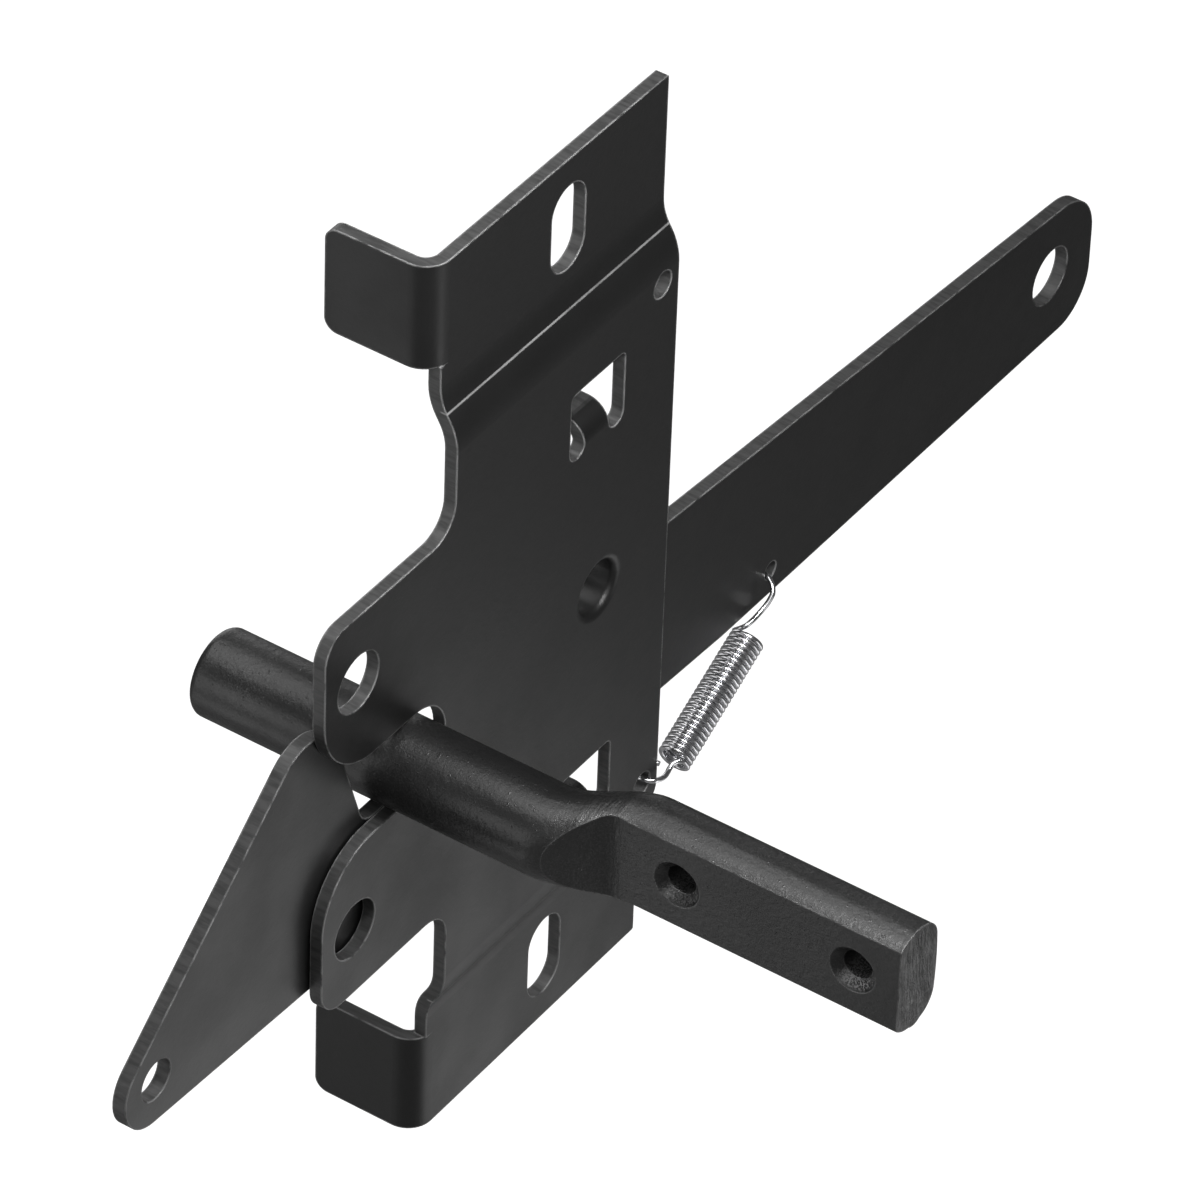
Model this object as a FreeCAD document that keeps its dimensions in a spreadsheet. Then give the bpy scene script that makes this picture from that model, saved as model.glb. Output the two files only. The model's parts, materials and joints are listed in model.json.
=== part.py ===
import FreeCAD, Part
import math
import os

import Sketcher
from FreeCAD import Placement, Rotation, Vector

# Post-mounted gate latch: a pressed back plate, a latch lever that swings behind it on a drawn
# collar, a return spring and the strike bar that a gate carries.
# Frame: origin midway between the two mounting slots, on the face of the post. +X runs across
# the plate towards the lever's arm, +Z is up and the front of the latch faces -Y.

doc = FreeCAD.newDocument("gate_latch")
sheet = doc.addObject("Spreadsheet::Sheet", "sizes")

SIZES = [
    ("sheet_gauge", 2.4, "thickness of the back plate"),
    ("offset_depth", 3.5, "how far the middle section stands off the post"),
    ("plate_length", 184.0, "height of the back plate"),
    ("plate_left", -34.6, "left edge of the middle section"),
    ("plate_right", 27.5, "right edge of the plate"),
    ("plate_corner", 0.4, "radius of the plate's right corners"),
    ("joggle_at", 61.7, "height of each offset bend's middle"),
    ("joggle_run", 5.7, "height between the corners of an offset bend before rounding"),
    ("joggle_inner", 9.0, "inner radius of the offset bends"),
    ("ear_left", -69.6, "left edge of both ears"),
    ("ear_half", 40.1, "height of the ears' outer edges from the middle"),
    ("ear_corner", 5.5, "radius of the ears' outer corners"),
    ("ear_throat", 6.0, "radius where an ear meets the middle section"),
    ("mouth_radius", 14.0, "lead-in radius of the slot's mouth"),
    ("slot_half", 8.7, "half of the bar slot's width"),
    ("slot_end", -36.2, "right end of the bar slot"),
    ("ear_hole_x", -60.55, "padlock holes, across"),
    ("ear_hole_z", 26.3, "padlock holes, up and down"),
    ("ear_hole_radius", 5.5, "padlock holes, radius"),
    ("fix_slot_z", 78.1, "middle of each mounting slot"),
    ("fix_slot_radius", 4.7, "half width of the mounting slots"),
    ("fix_slot_length", 16.8, "length of the mounting slots"),
    ("tab_reach", 18.3, "how far the tabs reach past the post's face"),
    ("tab_height", 20.4, "height of each tab"),
    ("tab_face", -37.4, "outer face of the tabs"),
    ("tab_bend", 4.8, "outer radius of the tabs' bends"),
    ("tab_corner", 2.5, "radius of the tabs' free corners"),
    ("window_x", 5.1, "middle of the two lanced windows"),
    ("window_width", 15.2, "width of the lanced windows"),
    ("window_top", 46.7, "top edge of the upper window"),
    ("window_low", 32.6, "lowest point of the upper window"),
    ("window_pitch", 83.1, "distance from the upper window to the lower one"),
    ("window_corner", 1.3, "radius of the windows' upper corners"),
    ("tongue_width", 6.9, "width of the lanced tongues"),
    ("tongue_root", 1.5, "height of a tongue's bend line above the window's lowest point"),
    ("tongue_bend", 4.3, "outer radius of the tongues' bends"),
    ("tongue_tip", 0.15, "gap between a tongue's tip and the post's face"),
    ("anchor_x", 22.9, "spring anchor holes, across"),
    ("anchor_z", 53.9, "spring anchor holes, up and down"),
    ("anchor_radius", 2.5, "spring anchor holes, radius"),
    ("pivot_x", 7.4, "pivot, across"),
    ("pivot_bore", 4.95, "inner radius of the drawn pivot collar"),
    ("pivot_wall", 1.4, "wall of the drawn collar"),
    ("pivot_entry", 1.4, "radius of the collar's drawn entry"),
    ("pivot_flare", 0.6, "radius of the collar's mouth behind"),
    ("rim_radius", 8.4, "radius of the collar's turned rim"),
    ("rim_gauge", 0.42, "thickness of the turned rim"),
    ("rim_seat", 0.08, "gap between the rim and the post's face"),
    ("pivot_fit", 0.05, "running clearance on the collar"),
    ("lever_gauge", 2.6, "thickness of the lever"),
    ("lever_gap", 0.3, "gap between the plate and the lever"),
    ("lever_end", 166.8, "right end of the lever"),
    ("arm_drop", 0.0825, "fall of the arm's upper edge for each unit of length"),
    ("arm_top", -0.7, "height of the arm's upper edge, carried back to the pivot"),
    ("arm_low", -41.6, "height of the arm's lower edge at its end"),
    ("knee_x", 50.6, "place of the slight knee in the lower edge"),
    ("knee_low", -40.8, "height of the lower edge at the knee"),
    ("arm_round_top", 11.0, "radius of the arm's upper end corner"),
    ("arm_round_low", 9.0, "radius of the arm's lower end corner"),
    ("tail_x", -129.9, "where the tail's two edges would meet, across"),
    ("tail_z", -31.3, "where the tail's two edges would meet, height"),
    ("tail_round", 7.7, "radius of the tail"),
    ("hook_x", -66.4, "where ramp and hook wall would meet, across"),
    ("hook_z", 25.1, "where ramp and hook wall would meet, height"),
    ("hook_round", 8.7, "radius of the hook's peak"),
    ("notch_left", -54.8, "left corner of the notch's floor"),
    ("notch_right", -35.4, "right corner of the notch's floor"),
    ("notch_play", 0.3, "gap between the strike bar and the notch's floor"),
    ("notch_round", 4.0, "radius of the notch's corners"),
    ("shoulder_x", -19.0, "where the notch's right wall meets the body's top"),
    ("shoulder_round", 8.0, "radius of that shoulder"),
    ("hump_radius", 16.0, "radius of the lever's body around the pivot"),
    ("armpit_round", 3.5, "radius where the body meets the arm"),
    ("pull_hole_x", 153.2, "pull hole at the arm's end, across"),
    ("pull_hole_z", -27.0, "pull hole at the arm's end, height"),
    ("pull_hole_radius", 5.7, "pull hole at the arm's end, radius"),
    ("tail_hole_x", -110.4, "hole in the tail, across"),
    ("tail_hole_z", -23.7, "hole in the tail, height"),
    ("tail_hole_radius", 3.8, "hole in the tail, radius"),
    ("spring_hole_x", 64.8, "spring hole in the lever, across"),
    ("spring_hole_z", -35.8, "spring hole in the lever, height"),
    ("spring_hole_radius", 1.75, "spring hole in the lever, radius"),
    ("cut_margin", 5.0, "how far a cut runs past the metal"),
    ("bar_radius", 7.94, "radius of the strike bar"),
    ("bar_x", -46.1, "strike bar's axis, across"),
    ("bar_seat", 0.06, "gap between the bar and the slot's lower edge"),
    ("bar_rear", 33.1, "rear end of the strike bar"),
    ("bar_forged", -33.0, "where the forged part of the bar begins"),
    ("bar_front", -99.5, "front end of the strike bar"),
    ("bar_round", 1.6, "radius of the bar's rear edge"),
    ("pad_start", -50.0, "where the pad has its full section"),
    ("pad_flat", 1.2, "flat of the pad, right of the bar's axis"),
    ("pad_depth", 10.6, "depth of the pad behind its flat"),
    ("pad_waste", 2.3, "how far the pad's section would reach left of its flat"),
    ("pad_top", 9.7, "top of the pad above the bar's axis"),
    ("pad_low", 10.1, "underside of the pad below the bar's axis"),
    ("pad_crown", 0.2, "how far each side of the pad bulges in its middle"),
    ("pad_round_back_top", 5.0, "radius of the pad's upper back edge"),
    ("pad_round_back_low", 4.5, "radius of the pad's lower back edge"),
    ("pad_round_front_low", 7.0, "radius of the pad's lower front edge"),
    ("pad_round_front_top", 6.0, "radius of the pad's upper front edge"),
    ("facet_start", -35.9, "where the facet leaves the round bar"),
    ("facet_end", -44.4, "where the facet would meet the pad's flat"),
    ("facet_bend", 4.0, "radius between the facet and the pad's flat"),
    ("screw_first", -57.2, "first screw hole in the pad"),
    ("screw_pitch", 33.5, "distance between the pad's screw holes"),
    ("screw_rise", 0.2, "height of the screw holes above the bar's axis"),
    ("screw_radius", 2.7, "radius of the screw holes"),
    ("sink_radius", 4.35, "radius of the countersinks at the flat"),
    ("wire_radius", 0.48, "radius of the spring wire"),
    ("coil_radius", 2.7, "mean radius of the spring's coil"),
    ("coil_turns", 26, "turns of the spring"),
    ("coil_gap", 0.1, "gap between two turns at rest"),
    ("coil_top_x", 57.3, "upper end of the coil, across"),
    ("coil_top_y", -4.5, "upper end of the coil, depth"),
    ("coil_top_z", -44.5, "upper end of the coil, height"),
    ("coil_aim_x", 31.4, "point that the coil's axis runs to, across"),
    ("coil_aim_y", -6.0, "point that the coil's axis runs to, depth"),
    ("coil_aim_z", -55.5, "point that the coil's axis runs to, height"),
    ("hook_radius_top", 3.6, "radius of the spring's upper hook"),
    ("hook_radius_low", 2.9, "radius of the spring's lower hook"),
    ("hook_sweep", 315, "angle that each hook's loop takes"),
    ("hook_seat", 0.1, "gap between a hook and the edge of its hole"),
]
for row, (alias, value, note) in enumerate(SIZES, start=1):
    sheet.set(f"A{row}", note)
    sheet.set(f"B{row}", str(value))
    sheet.setAlias(f"B{row}", alias)
doc.recompute()


def size(alias):
    """Value of one cell of the sheet."""
    return float(sheet.get(alias))


def bind(item, prop, formula):
    """Tie a property to a formula in which each {alias} is a cell of the sheet."""
    text = formula
    for alias, _, _ in SIZES:
        text = text.replace("{" + alias + "}", "sizes." + alias)
    item.setExpression(prop, text)


def segment(start, end):
    """Straight edge between two (x, y) points."""
    return Part.LineSegment(Vector(start[0], start[1], 0), Vector(end[0], end[1], 0))


def arc(centre, radius, start, end):
    """Arc from one angle to another, anticlockwise, in radians."""
    circle = Part.Circle(Vector(centre[0], centre[1], 0), Vector(0, 0, 1), radius)
    return Part.ArcOfCircle(circle, start, end)


def outline(corners):
    """Closed outline through (x, y, radius) corners, each rounded by its own radius."""
    count = len(corners)
    trims = []
    for index, (x, y, radius) in enumerate(corners):
        here = Vector(x, y, 0)
        before = Vector(*corners[index - 1][:2], 0)
        after = Vector(*corners[(index + 1) % count][:2], 0)
        back = (before - here).normalize()
        ahead = (after - here).normalize()
        half = back.getAngle(ahead) / 2
        reach = radius / math.tan(half)
        middle = here + (back + ahead).normalize() * (radius / math.sin(half))
        trims.append((here + back * reach, here + ahead * reach, middle, radius))
    edges = []
    for index, (enter, leave, middle, radius) in enumerate(trims):
        if radius > 0:
            first = math.atan2(enter.y - middle.y, enter.x - middle.x)
            last = math.atan2(leave.y - middle.y, leave.x - middle.x)
            turn = (last - first) % (2 * math.pi)
            if turn > math.pi:
                first, turn = last, 2 * math.pi - turn
            edges.append(arc(middle, radius, first, first + turn))
        follow = trims[(index + 1) % count][0]
        if (follow - leave).Length > 1e-6:
            edges.append(Part.LineSegment(leave, follow))
    return edges


def make_body(label):
    body = doc.addObject("PartDesign::Body", label + "_body")
    body.Label = label
    return body


def origin_item(body, role):
    """Origin plane or axis of a body, found by its role."""
    return [item for item in body.Origin.OriginFeatures if item.Role == role][0]


def make_sketch(body, name, plane, edges, lift=None):
    """Sketch on one of the body's own origin planes, lifted off it by a formula."""
    sketch = body.newObject("Sketcher::SketchObject", name)
    sketch.AttachmentSupport = [(origin_item(body, plane), "")]
    sketch.MapMode = "FlatFace"
    if lift is not None:
        bind(sketch, "AttachmentOffset.Base.z", lift)
    if edges:
        sketch.addGeometry(edges, False)
    doc.recompute()
    return sketch


def add_circles(sketch, circles):
    """Circles whose centres and radii are bound to formulas."""
    for across, up, radius in circles:
        index = sketch.addGeometry(Part.Circle(Vector(1, 1, 0), Vector(0, 0, 1), 1), False)
        for kind, formula in (("DistanceX", across), ("DistanceY", up)):
            sketch.addConstraint(Sketcher.Constraint(kind, -1, 1, index, 3, 1.0))
            bind(sketch, f"Constraints[{sketch.ConstraintCount - 1}]", formula)
        sketch.addConstraint(Sketcher.Constraint("Radius", index, 1.0))
        bind(sketch, f"Constraints[{sketch.ConstraintCount - 1}]", radius)
    doc.recompute()


def make_pad(body, name, sketch, length, reverse=False):
    """Pad along the sketch's normal, or against it."""
    pad = body.newObject("PartDesign::Pad", name)
    pad.Profile = sketch
    pad.Reversed = reverse
    bind(pad, "Length", length)
    doc.recompute()
    return pad


def make_cut(body, name, sketch):
    """Pocket through everything on both sides, which has to remove material."""
    before = body.Shape.Volume
    cut = body.newObject("PartDesign::Pocket", name)
    cut.Profile = sketch
    cut.Type = "ThroughAll"
    cut.Midplane = True
    doc.recompute()
    if not cut.Shape.Volume < before:
        raise RuntimeError(name + " removes nothing")
    return cut


def make_turned(body, kind, name, sketch):
    """Revolution or groove about the sketch's first construction line."""
    turned = body.newObject("PartDesign::" + kind, name)
    turned.Profile = sketch
    turned.ReferenceAxis = (sketch, ["Axis0"])
    turned.Angle = 360
    doc.recompute()
    return turned


# Planes and levels that more than one piece uses, all measured from the post's face.
plate_half = size("plate_length") / 2
flange_front = -size("sheet_gauge")
middle_back = -size("offset_depth")
middle_front = middle_back - size("sheet_gauge")
bar_z = size("bar_radius") + size("bar_seat") - size("slot_half")
LEVER_BACK = "{offset_depth} - {lever_gap} - {lever_gauge}"
BAR_Z = "{bar_radius} + {bar_seat} - {slot_half}"


# Back plate: one sheet, offset in the middle, with ears, tabs, tongues and a drawn collar.

plate = make_body("back_plate")

slope = math.atan2(size("offset_depth"), size("joggle_run"))
shift = size("sheet_gauge") / 2 * math.tan(slope / 2)
root = size("joggle_inner")
crest = root + size("sheet_gauge")
flange_bend = size("joggle_at") + size("joggle_run") / 2
middle_bend = size("joggle_at") - size("joggle_run") / 2
section = [
    (0, plate_half, 0),
    (flange_front, plate_half, 0),
    (flange_front, flange_bend + shift, root),
    (middle_front, middle_bend + shift, crest),
    (middle_front, -middle_bend - shift, crest),
    (flange_front, -flange_bend - shift, root),
    (flange_front, -plate_half, 0),
    (0, -plate_half, 0),
    (0, -flange_bend + shift, crest),
    (middle_back, -middle_bend + shift, root),
    (middle_back, middle_bend - shift, root),
    (0, flange_bend - shift, crest),
]
side = make_sketch(plate, "offset_section", "YZ_Plane", outline(section), "{ear_left}")
make_pad(plate, "offset_sheet", side, "{plate_right} - {ear_left}")

tab_step = plate_half - size("tab_height")
bend_start = size("tab_face") + size("tab_bend")
blank = [
    (size("plate_right"), plate_half, size("plate_corner")),
    (bend_start, plate_half, 0),
    (bend_start, tab_step, 0),
    (size("plate_left"), tab_step, 0),
    (size("plate_left"), size("ear_half"), size("ear_throat")),
    (size("ear_left"), size("ear_half"), size("ear_corner")),
    (size("ear_left"), size("slot_half"), size("mouth_radius")),
    (size("slot_end"), size("slot_half"), size("slot_half")),
    (size("slot_end"), -size("slot_half"), size("slot_half")),
    (size("ear_left"), -size("slot_half"), size("mouth_radius")),
    (size("ear_left"), -size("ear_half"), size("ear_corner")),
    (size("plate_left"), -size("ear_half"), size("ear_throat")),
    (size("plate_left"), -tab_step, 0),
    (bend_start, -tab_step, 0),
    (bend_start, -plate_half, 0),
    (size("plate_right"), -plate_half, size("plate_corner")),
]
waste_left = size("ear_left") - size("cut_margin")
waste_right = size("plate_right") + size("cut_margin")
waste_half = plate_half + size("cut_margin")
waste = [
    (waste_left, -waste_half, 0),
    (waste_left, waste_half, 0),
    (waste_right, waste_half, 0),
    (waste_right, -waste_half, 0),
]
trim = make_sketch(plate, "blank_outline", "XZ_Plane", outline(blank) + outline(waste))
make_cut(plate, "blanked_edges", trim)

bend_centre = (bend_start, flange_front + size("tab_bend"))
bend_inner = size("tab_bend") - size("sheet_gauge")
bend_ring = [
    arc(bend_centre, size("tab_bend"), math.pi, 1.5 * math.pi),
    segment((bend_start, flange_front), (bend_start, 0)),
    arc(bend_centre, bend_inner, math.pi, 1.5 * math.pi),
    segment((bend_start - bend_inner, bend_centre[1]), (size("tab_face"), bend_centre[1])),
]
ring = make_sketch(
    plate, "tab_bend_section", "XY_Plane", bend_ring, "{plate_length} / 2 - {tab_height}"
)
tab_bend = make_pad(plate, "tab_bend", ring, "{tab_height}")
leaf = outline([
    (bend_centre[1], tab_step, 0),
    (size("tab_reach"), tab_step, size("tab_corner")),
    (size("tab_reach"), plate_half, size("tab_corner")),
    (bend_centre[1], plate_half, 0),
])
leaf_side = make_sketch(plate, "tab_side", "YZ_Plane", leaf, "{tab_face}")
tab_leaf = make_pad(plate, "tab_leaf", leaf_side, "{sheet_gauge}")
tabs = plate.newObject("PartDesign::Mirrored", "lower_tab")
tabs.Originals = [tab_bend, tab_leaf]
tabs.MirrorPlane = (origin_item(plate, "XY_Plane"), [""])
plate.Tip = tabs
doc.recompute()

slot_edges = []
slot_reach = size("fix_slot_length") / 2
slot_radius = size("fix_slot_radius")
for middle in (size("fix_slot_z"), -size("fix_slot_z")):
    slot_edges += outline([
        (slot_radius, middle - slot_reach, slot_radius),
        (slot_radius, middle + slot_reach, slot_radius),
        (-slot_radius, middle + slot_reach, slot_radius),
        (-slot_radius, middle - slot_reach, slot_radius),
    ])
make_cut(plate, "mounting_slots", make_sketch(plate, "slot_outlines", "XZ_Plane", slot_edges))

holes = make_sketch(plate, "round_holes", "XZ_Plane", [])
add_circles(holes, [
    ("{ear_hole_x}", "{ear_hole_z}", "{ear_hole_radius}"),
    ("{ear_hole_x}", "-{ear_hole_z}", "{ear_hole_radius}"),
    ("{anchor_x}", "{anchor_z}", "{anchor_radius}"),
    ("{anchor_x}", "-{anchor_z}", "{anchor_radius}"),
])
make_cut(plate, "punched_holes", holes)

window_left = size("window_x") - size("window_width") / 2
window_right = size("window_x") + size("window_width") / 2
tongue_left = size("window_x") - size("tongue_width") / 2
tongue_right = size("window_x") + size("tongue_width") / 2
relief = (tongue_left - window_left) / 2
bend_line = size("window_low") + size("tongue_root")
window = outline([
    (window_right, size("window_top"), size("window_corner")),
    (window_left, size("window_top"), size("window_corner")),
    (window_left, size("window_low"), relief),
    (tongue_left, size("window_low"), relief),
    (tongue_left, bend_line, 0),
    (tongue_right, bend_line, 0),
    (tongue_right, size("window_low"), relief),
    (window_right, size("window_low"), relief),
])
lance = make_cut(plate, "window", make_sketch(plate, "window_outline", "XZ_Plane", window))
curl_y = middle_front + size("tongue_bend")
curl_inner = size("tongue_bend") - size("sheet_gauge")
curl_top = bend_line + size("tongue_bend")
curl_low = bend_line + curl_inner
curl_tip = -size("tongue_tip")
curl = [
    arc((curl_y, bend_line), size("tongue_bend"), math.pi / 2, math.pi),
    segment((middle_front, bend_line), (middle_back, bend_line)),
    arc((curl_y, bend_line), curl_inner, math.pi / 2, math.pi),
    segment((curl_y, curl_low), (curl_tip, curl_low)),
    segment((curl_tip, curl_low), (curl_tip, curl_top)),
    segment((curl_tip, curl_top), (curl_y, curl_top)),
]
tongue_side = make_sketch(
    plate, "tongue_section", "YZ_Plane", curl, "{window_x} - {tongue_width} / 2"
)
tongue = make_pad(plate, "tongue", tongue_side, "{tongue_width}")
lower = plate.newObject("PartDesign::LinearPattern", "lower_window")
lower.Originals = [lance, tongue]
lower.Direction = (origin_item(plate, "Z_Axis"), [""])
lower.Reversed = True
lower.Occurrences = 2
bind(lower, "Length", "{window_pitch}")
plate.Tip = lower
doc.recompute()

pivot_x = size("pivot_x")
axis_line = segment((pivot_x, 0), (pivot_x, middle_back))
collar_outer = size("pivot_bore") + size("pivot_wall")
rim_back = -size("rim_seat")
rim_front = rim_back - size("rim_gauge")
collar = outline([
    (pivot_x, middle_front, 0),
    (pivot_x + collar_outer, middle_front, 0),
    (pivot_x + collar_outer, rim_front, 0),
    (pivot_x + size("rim_radius"), rim_front, 0),
    (pivot_x + size("rim_radius"), rim_back, 0),
    (pivot_x, rim_back, 0),
])
collar_half = make_sketch(plate, "collar_section", "XY_Plane", collar)
collar_half.addGeometry(axis_line, True)
doc.recompute()
make_turned(plate, "Revolution", "drawn_collar", collar_half)

flare = size("pivot_flare")
entry = size("pivot_entry")
bore_x = pivot_x + size("pivot_bore")
entry_x = bore_x + entry
flare_x = bore_x + flare
bore_front = middle_front - size("cut_margin")
bore_back = size("cut_margin")
bore = [
    segment((pivot_x, bore_front), (entry_x, bore_front)),
    segment((entry_x, bore_front), (entry_x, middle_front)),
    arc((entry_x, middle_front + entry), entry, math.pi, 1.5 * math.pi),
    segment((bore_x, middle_front + entry), (bore_x, rim_back - flare)),
    arc((flare_x, rim_back - flare), flare, math.pi / 2, math.pi),
    segment((flare_x, rim_back), (flare_x, bore_back)),
    segment((flare_x, bore_back), (pivot_x, bore_back)),
    segment((pivot_x, bore_back), (pivot_x, bore_front)),
]
bore_half = make_sketch(plate, "bore_section", "XY_Plane", bore)
bore_half.addGeometry(axis_line, True)
doc.recompute()
solid_volume = plate.Shape.Volume
drawn_bore = make_turned(plate, "Groove", "drawn_bore", bore_half)
if not drawn_bore.Shape.Volume < solid_volume:
    raise RuntimeError("drawn_bore removes nothing")


# Latch lever: one flat plate, with a ramp, a hook, the notch over the bar and a long arm.

lever = make_body("latch_lever")
notch_floor = bar_z - size("bar_radius") - size("notch_play")
arm_fall = size("arm_drop")
arm_edge = pivot_x + size("hump_radius")
profile = outline([
    (size("lever_end"), size("arm_top") - arm_fall * size("lever_end"), size("arm_round_top")),
    (arm_edge, size("arm_top") - arm_fall * arm_edge, size("armpit_round")),
    (arm_edge, size("hump_radius"), size("hump_radius")),
    (size("shoulder_x"), size("hump_radius"), size("shoulder_round")),
    (size("notch_right"), notch_floor, size("notch_round")),
    (size("notch_left"), notch_floor, size("notch_round")),
    (size("hook_x"), size("hook_z"), size("hook_round")),
    (size("tail_x"), size("tail_z"), size("tail_round")),
    (size("knee_x"), size("knee_low"), 0),
    (size("lever_end"), size("arm_low"), size("arm_round_low")),
])
lever_face = make_sketch(lever, "lever_outline", "XZ_Plane", profile, LEVER_BACK)
make_pad(lever, "lever_blank", lever_face, "{lever_gauge}")
lever_holes = make_sketch(lever, "lever_hole_circles", "XZ_Plane", [])
add_circles(lever_holes, [
    ("{pivot_x}", "0", "{pivot_bore} + {pivot_wall} + {pivot_fit}"),
    ("{pull_hole_x}", "{pull_hole_z}", "{pull_hole_radius}"),
    ("{tail_hole_x}", "{tail_hole_z}", "{tail_hole_radius}"),
    ("{spring_hole_x}", "{spring_hole_z}", "{spring_hole_radius}"),
])
make_cut(lever, "lever_holes", lever_holes)


# Strike bar: round rod, forged at the front into a flat pad with two countersunk holes.

bar = make_body("strike_bar")
bar_x = size("bar_x")
bar_radius = size("bar_radius")
flat_x = bar_x + size("pad_flat")
pad_back = flat_x + size("pad_depth")
rod_end = make_sketch(bar, "rod_circle", "XZ_Plane", [], "-{bar_rear}")
add_circles(rod_end, [("{bar_x}", BAR_Z, "{bar_radius}")])
rod = make_pad(bar, "rod", rod_end, "{bar_rear} - {bar_forged}")
rear_rim = [
    f"Edge{number}" for number, edge in enumerate(rod.Shape.Edges, start=1)
    if edge.BoundBox.YMin > size("bar_rear") - size("bar_round")
]
rear_edge = bar.newObject("PartDesign::Fillet", "rear_edge")
rear_edge.Base = (rod, rear_rim)
bind(rear_edge, "Radius", "{bar_round}")
doc.recompute()

# The forged section's four sides and four corner radii: (as the round rod, as the full pad).
SIDES = {
    "right": (bar_x + bar_radius, pad_back),
    "top": (bar_z + bar_radius, bar_z + size("pad_top")),
    "left": (bar_x - bar_radius, flat_x - size("pad_waste")),
    "low": (bar_z - bar_radius, bar_z - size("pad_low")),
}
CORNERS = [
    ("right", "top", "pad_round_back_top"),
    ("left", "top", "pad_round_front_top"),
    ("left", "low", "pad_round_front_low"),
    ("right", "low", "pad_round_back_low"),
]
CORNER_POINTS = 5
BLEND_STEPS = 6


def mix(pair, share):
    """Value between a pair's first, at share 0, and its last, at share 1."""
    return pair[0] + (pair[1] - pair[0]) * share


def forged_section(share):
    """The bar's section as eight arcs, from the round rod (share 0) to the full pad (share 1)."""
    side = {name: mix(pair, share) for name, pair in SIDES.items()}
    crown = size("pad_crown") * share
    middle_x = (side["left"] + side["right"]) / 2
    middle_z = (side["low"] + side["top"]) / 2
    mids = [
        Vector(side["right"] + crown, middle_z, 0),
        Vector(middle_x, side["top"] + crown, 0),
        Vector(side["left"] - crown, middle_z, 0),
        Vector(middle_x, side["low"] - crown, 0),
    ]
    points = []
    for quarter, (across, up, round_name) in enumerate(CORNERS):
        radius = mix((bar_radius, size(round_name)), share)
        centre_x = side[across] + (radius if across == "left" else -radius)
        centre_z = side[up] + (radius if up == "low" else -radius)
        points.append(mids[quarter])
        for step in range(CORNER_POINTS):
            angle = (quarter + (step + 0.5) / CORNER_POINTS) * math.pi / 2
            points.append(Vector(
                centre_x + radius * math.cos(angle), centre_z + radius * math.sin(angle), 0
            ))
    arcs = []
    for first in range(0, len(points), CORNER_POINTS + 1):
        corner = points[first + 1:first + CORNER_POINTS + 1]
        arcs.append(Part.Arc(points[first - 1], points[first], corner[0]))
        arcs.append(Part.Arc(corner[0], corner[CORNER_POINTS // 2], corner[-1]))
    return arcs


rod_ring = make_sketch(bar, "rod_ring", "XZ_Plane", forged_section(0), "-{bar_forged}")
rings = []
for step in range(1, BLEND_STEPS + 1):
    along_blend = step / BLEND_STEPS
    eased = along_blend ** 2 * (3 - 2 * along_blend)
    level = f"-({{bar_forged}} + ({{pad_start}} - {{bar_forged}}) * {step} / {BLEND_STEPS})"
    rings.append(
        make_sketch(bar, f"forged_ring_{step}", "XZ_Plane", forged_section(eased), level)
    )
blend = bar.newObject("PartDesign::AdditiveLoft", "forged_blend")
blend.Profile = rod_ring
blend.Sections = rings
doc.recompute()
pad_face = make_sketch(bar, "pad_outline", "XZ_Plane", forged_section(1), "-{pad_start}")
make_pad(bar, "pad", pad_face, "{pad_start} - {bar_front}")

clear_x = bar_x - bar_radius - size("cut_margin")
clear_y = size("bar_front") - size("cut_margin")
clear_back = pad_back + size("cut_margin")
facet = outline([
    (bar_x - bar_radius, size("facet_start"), 0),
    (clear_x, size("facet_start"), 0),
    (clear_x, clear_y, 0),
    (flat_x, clear_y, 0),
    (flat_x, size("facet_end"), size("facet_bend")),
])
make_cut(bar, "flattened_side", make_sketch(bar, "facet_outline", "XY_Plane", facet))

screw_y = size("screw_first")
sink = size("sink_radius")
screw = size("screw_radius")
hole_profile = outline([
    (clear_x, screw_y, 0),
    (clear_x, screw_y + sink, 0),
    (flat_x, screw_y + sink, 0),
    (flat_x + sink - screw, screw_y + screw, 0),
    (clear_back, screw_y + screw, 0),
    (clear_back, screw_y, 0),
])
hole_half = make_sketch(bar, "screw_section", "XY_Plane", hole_profile, BAR_Z + " + {screw_rise}")
hole_half.addGeometry(segment((clear_x, screw_y), (flat_x, screw_y)), True)
doc.recompute()
solid_volume = bar.Shape.Volume
first_hole = make_turned(bar, "Groove", "countersunk_hole", hole_half)
screw_holes = bar.newObject("PartDesign::LinearPattern", "countersunk_holes")
screw_holes.Originals = [first_hole]
screw_holes.Direction = (origin_item(bar, "Y_Axis"), [""])
screw_holes.Reversed = True
screw_holes.Occurrences = 2
bind(screw_holes, "Length", "{screw_pitch}")
bar.Tip = screw_holes
doc.recompute()
if not screw_holes.Shape.Volume < first_hole.Shape.Volume < solid_volume:
    raise RuntimeError("countersunk holes remove nothing")


# Return spring: close coils with a hook through the lever and a hook through the plate. Its
# wire and its coils have flat sides, so that so thin a wire stays light.

spring_wire = size("wire_radius")
coil = size("coil_radius")
coil_turns = int(size("coil_turns"))
pitch = 2 * spring_wire + size("coil_gap")
coil_length = pitch * coil_turns
coil_top = Vector(size("coil_top_x"), size("coil_top_y"), size("coil_top_z"))
coil_aim = Vector(size("coil_aim_x"), size("coil_aim_y"), size("coil_aim_z"))
along = (coil_aim - coil_top).normalize()
coil_low = coil_top + along * coil_length
along_coil = Rotation(Vector(0, 0, 1), along)
COIL_SIDES = 12
WIRE_SIDES = 8


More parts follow.
